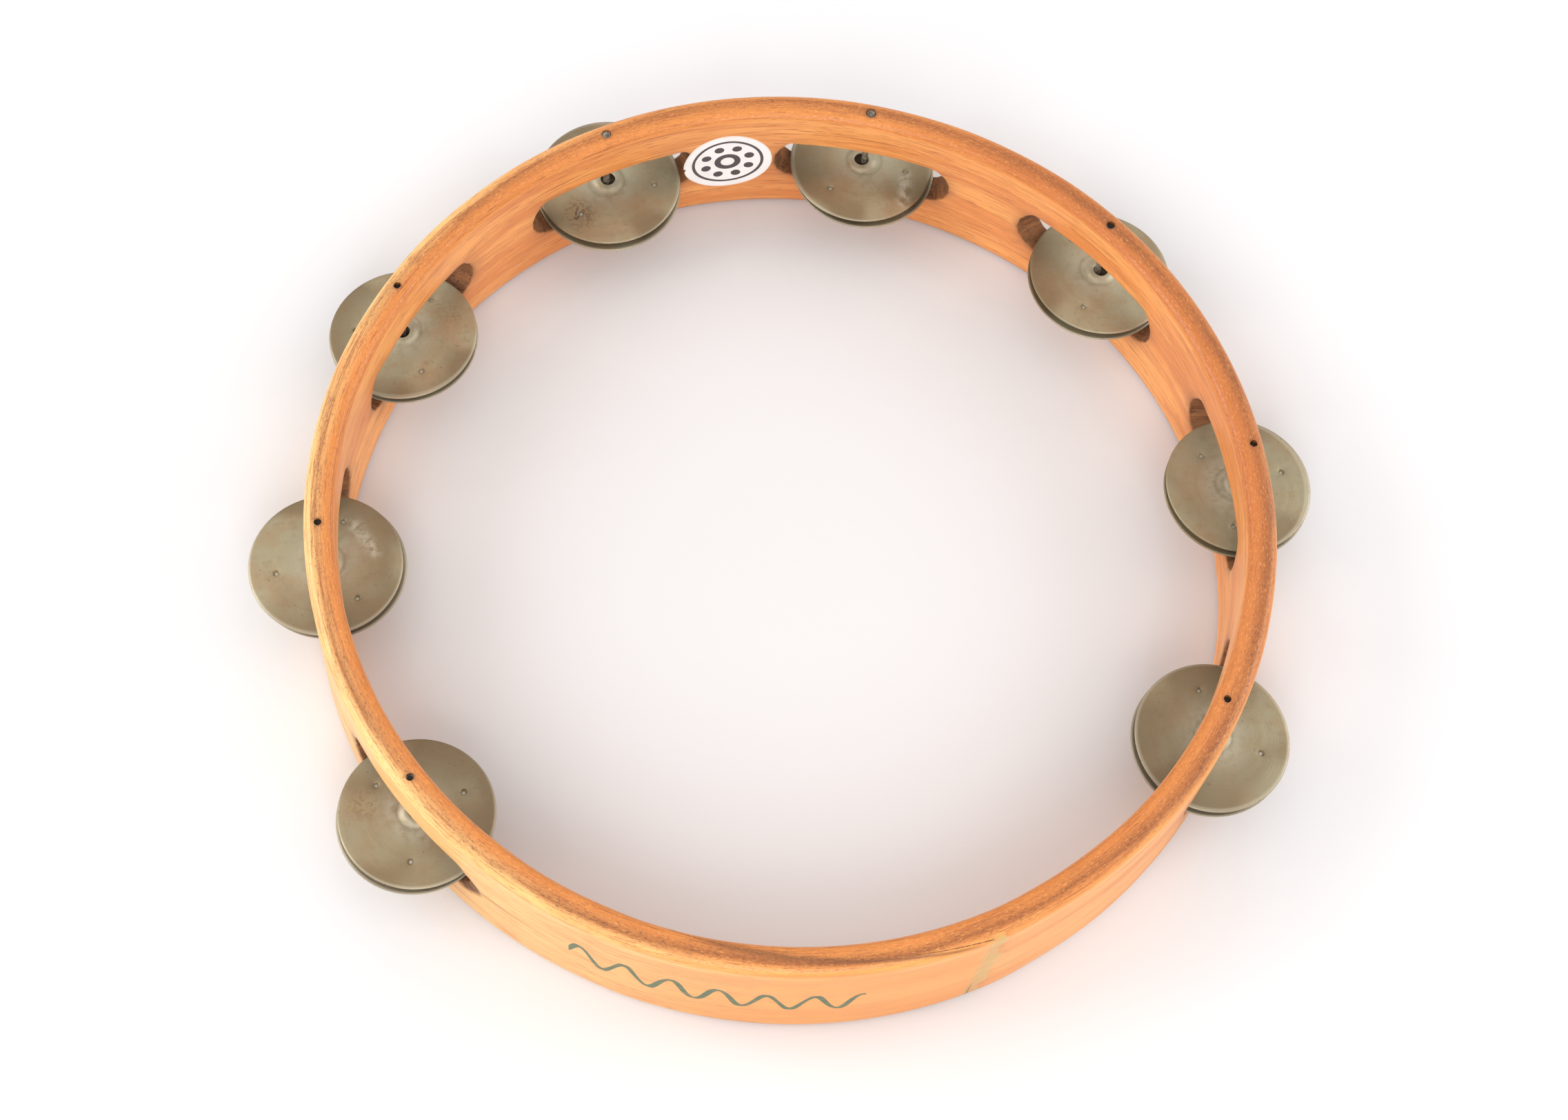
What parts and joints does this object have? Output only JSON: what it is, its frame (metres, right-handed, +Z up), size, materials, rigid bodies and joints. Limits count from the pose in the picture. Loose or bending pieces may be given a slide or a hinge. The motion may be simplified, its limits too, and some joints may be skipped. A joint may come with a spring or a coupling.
{
  "type": "tambourine",
  "caption": "Headless wooden tambourine: a bent hoop with a row of slots, each holding a pair of loose metal jingles on a nail, and a smooth hand grip.",
  "frame": {"origin": "centre of the hoop, on the plane of its lower rim", "axes": "+Z up along the hoop's axis, out of the rim that the nails are driven into; -Y towards the middle of the hand grip"},
  "size_m": [0.2867, 0.265, 0.0444],
  "materials": {
    "wood": "satin, thin clear finish over orange-toned bent wood",
    "glue": "dark glue line",
    "nail": "dull, oxidised",
    "jingle": "tarnished nickel plate, satin",
    "label": "satin printed paper"
  },
  "bodies": {
    "hoop": {"hoop": "wood", "scarf_glue_line": "glue", "round_label": "label", "nail_1": "nail", "nail_2": "nail", "nail_3": "nail", "nail_4": "nail", "nail_5": "nail", "nail_6": "nail", "nail_7": "nail", "nail_8": "nail"},
    "lower_jingle_1": {"lower_jingle_1": "jingle"},
    "upper_jingle_1": {"upper_jingle_1": "jingle"},
    "lower_jingle_2": {"lower_jingle_2": "jingle"},
    "upper_jingle_2": {"upper_jingle_2": "jingle"},
    "lower_jingle_3": {"lower_jingle_3": "jingle"},
    "upper_jingle_3": {"upper_jingle_3": "jingle"},
    "lower_jingle_4": {"lower_jingle_4": "jingle"},
    "upper_jingle_4": {"upper_jingle_4": "jingle"},
    "lower_jingle_5": {"lower_jingle_5": "jingle"},
    "upper_jingle_5": {"upper_jingle_5": "jingle"},
    "lower_jingle_6": {"lower_jingle_6": "jingle"},
    "upper_jingle_6": {"upper_jingle_6": "jingle"},
    "lower_jingle_7": {"lower_jingle_7": "jingle"},
    "upper_jingle_7": {"upper_jingle_7": "jingle"},
    "lower_jingle_8": {"lower_jingle_8": "jingle"},
    "upper_jingle_8": {"upper_jingle_8": "jingle"}
  },
  "joints": [
    {"name": "pair_1_lift", "type": "slide", "parent": "hoop", "child": "lower_jingle_1", "axis": [0, 0, 1], "range_m": [0, 0.0045]},
    {"name": "pair_1_clap", "type": "slide", "parent": "lower_jingle_1", "child": "upper_jingle_1", "axis": [0, 0, 1], "range_m": [0, 0.0045]},
    {"name": "pair_2_lift", "type": "slide", "parent": "hoop", "child": "lower_jingle_2", "axis": [0, 0, 1], "range_m": [0, 0.0045]},
    {"name": "pair_2_clap", "type": "slide", "parent": "lower_jingle_2", "child": "upper_jingle_2", "axis": [0, 0, 1], "range_m": [0, 0.0045]},
    {"name": "pair_3_lift", "type": "slide", "parent": "hoop", "child": "lower_jingle_3", "axis": [0, 0, 1], "range_m": [0, 0.0045]},
    {"name": "pair_3_clap", "type": "slide", "parent": "lower_jingle_3", "child": "upper_jingle_3", "axis": [0, 0, 1], "range_m": [0, 0.0045]},
    {"name": "pair_4_lift", "type": "slide", "parent": "hoop", "child": "lower_jingle_4", "axis": [0, 0, 1], "range_m": [0, 0.0045]},
    {"name": "pair_4_clap", "type": "slide", "parent": "lower_jingle_4", "child": "upper_jingle_4", "axis": [0, 0, 1], "range_m": [0, 0.0045]},
    {"name": "pair_5_lift", "type": "slide", "parent": "hoop", "child": "lower_jingle_5", "axis": [0, 0, 1], "range_m": [0, 0.0045]},
    {"name": "pair_5_clap", "type": "slide", "parent": "lower_jingle_5", "child": "upper_jingle_5", "axis": [0, 0, 1], "range_m": [0, 0.0045]},
    {"name": "pair_6_lift", "type": "slide", "parent": "hoop", "child": "lower_jingle_6", "axis": [0, 0, 1], "range_m": [0, 0.0045]},
    {"name": "pair_6_clap", "type": "slide", "parent": "lower_jingle_6", "child": "upper_jingle_6", "axis": [0, 0, 1], "range_m": [0, 0.0045]},
    {"name": "pair_7_lift", "type": "slide", "parent": "hoop", "child": "lower_jingle_7", "axis": [0, 0, 1], "range_m": [0, 0.0045]},
    {"name": "pair_7_clap", "type": "slide", "parent": "lower_jingle_7", "child": "upper_jingle_7", "axis": [0, 0, 1], "range_m": [0, 0.0045]},
    {"name": "pair_8_lift", "type": "slide", "parent": "hoop", "child": "lower_jingle_8", "axis": [0, 0, 1], "range_m": [0, 0.0045]},
    {"name": "pair_8_clap", "type": "slide", "parent": "lower_jingle_8", "child": "upper_jingle_8", "axis": [0, 0, 1], "range_m": [0, 0.0045]}
  ]
}
